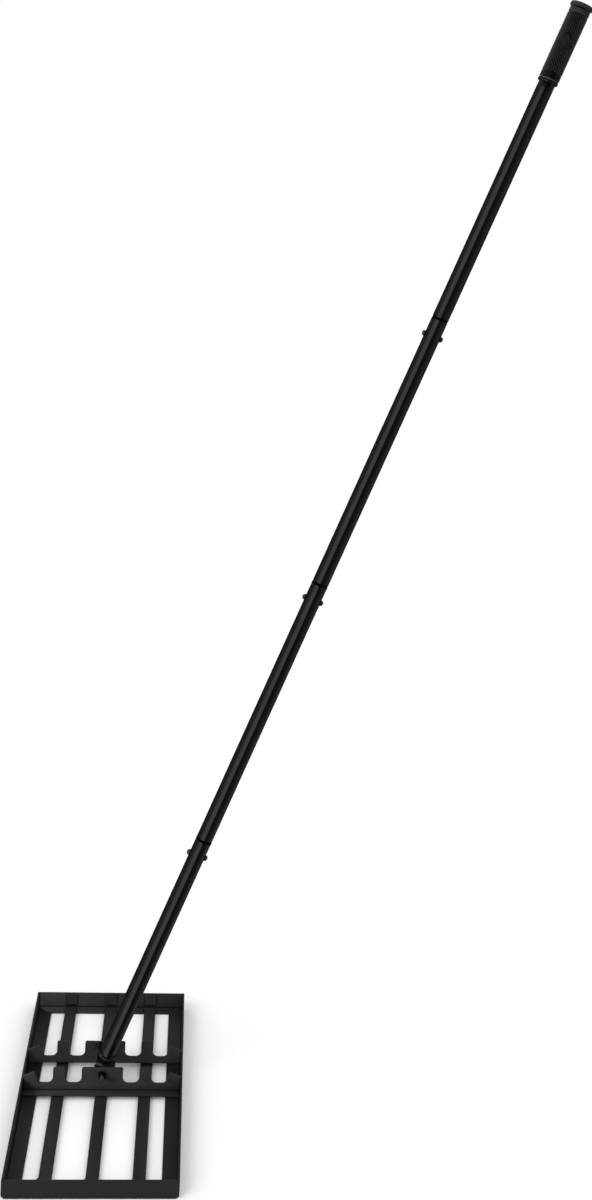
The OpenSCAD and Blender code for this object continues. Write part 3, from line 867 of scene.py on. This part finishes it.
# %% [markdown]
# ## Panels round the handle
# Gloss black shows only what it mirrors, so dark panels hang round the handle, as photographers put up,
# with a white one on the left front: that one is the long strip of light on the tubes. Round the grip
# each panel has another cloth, none of them white, because rubber shows a soft fall from its left edge.
# The panels are seen from inside and in mirror images only. Each has the degrees where it starts and
# ends, its cloth round the tubes and its cloth round the grip, and the whole tent twists with height.

# %% Cloth for the panels
def panel_cloth(name, grey):
    cloth = empty_material(name + "_cloth")
    glow = add_node(cloth, "ShaderNodeEmission", {"Color": linear(grey), "Strength": 1.0})
    clear = add_node(cloth, "ShaderNodeBsdfTransparent")
    side = add_node(cloth, "ShaderNodeNewGeometry")
    one_sided = add_node(cloth, "ShaderNodeMixShader",
                         {0: side.outputs["Backfacing"], 1: glow.outputs["Emission"],
                          2: clear.outputs["BSDF"]})
    add_node(cloth, "ShaderNodeOutputMaterial", {"Surface": one_sided.outputs["Shader"]})
    return cloth


# %% Panels
TENT_R = 60 * MM
TENT_LOW = 12.3 * MM
TENT_FOOT_R = 13.3 * MM
TENT_SPLIT = GRIP_BOTTOM - 2 * MM
TENT_HIGH = 1870 * MM
TENT_OUTLINE = [(TENT_FOOT_R, TENT_LOW), (TENT_R, TENT_LOW), (TENT_R, TENT_SPLIT), (TENT_R, TENT_HIGH)]
TENT_TURN_LOW = 2.6
TENT_TURN_HIGH = -15.4
PANELS = {
    "panel_front": (-3.5, 14.9, "#202020", "#141414"),
    "panel_right_front": (14.9, 48.5, "#545454", "#1c1c1c"),
    "panel_right": (48.5, 105.4, "#898989", "#696969"),
    "panel_back": (105.4, 256.6, "#404040", "#848484"),
    "panel_left": (256.6, 289.9, "#7a7a7a", "#9e9e9e"),
    "panel_left_front": (289.9, 308.8, "#a0a0a0", "#868686"),
    "panel_light": (308.8, 356.5, "#ffffff", "#4c4c4c")}
PANEL_STEPS = 16


def tent_turn(height):
    share = (height - TENT_LOW) / (TENT_HIGH - TENT_LOW)
    return math.radians(TENT_TURN_LOW + share * (TENT_TURN_HIGH - TENT_TURN_LOW))


def hang_panel(name, panel, greys):
    middle = Vector((0, 0, (TENT_LOW + TENT_HIGH) / 2))
    panel.normal_update()
    outward = [face for face in panel.faces if face.normal.dot(middle - face.calc_center_median()) < 0]
    bmesh.ops.reverse_faces(panel, faces=outward)
    bmesh.ops.transform(panel, matrix=ON_HANDLE, verts=panel.verts)
    mesh = bpy.data.meshes.new(name)
    panel.to_mesh(mesh)
    panel.free()
    for tier, grey in greys.items():
        mesh.materials.append(panel_cloth(name + "_" + tier, grey))
    flag = bpy.data.objects.new(name, mesh)
    bpy.context.collection.objects.link(flag)
    flag.visible_camera = False
    flag.visible_diffuse = False
    flag.visible_shadow = False
    flag.visible_transmission = False


for name, (start, end, tube_grey, grip_grey) in PANELS.items():
    panel = bmesh.new()
    corners = [panel.verts.new((0, -radius, height)) for radius, height in TENT_OUTLINE]
    sides = [panel.edges.new(pair) for pair in zip(corners, corners[1:])]
    for corner in corners:
        turn = Matrix.Rotation(math.radians(start) + tent_turn(corner.co.z), 3, "Z")
        bmesh.ops.rotate(panel, cent=(0, 0, 0), matrix=turn, verts=[corner])
    bmesh.ops.spin(panel, geom=corners + sides, cent=(0, 0, 0), axis=(0, 0, 1),
                   angle=math.radians(end - start), steps=PANEL_STEPS)
    for face in panel.faces:
        face.material_index = int(face.calc_center_median().z > TENT_SPLIT)
    hang_panel(name, panel, {"tube": tube_grey, "grip": grip_grey})
print("panels:", ", ".join(PANELS), "in two cloths each")

# %% [markdown]
# ## Finish
# The plain view transform shows colours as they are written.

# %% View settings
bpy.context.scene.view_settings.view_transform = "Standard"
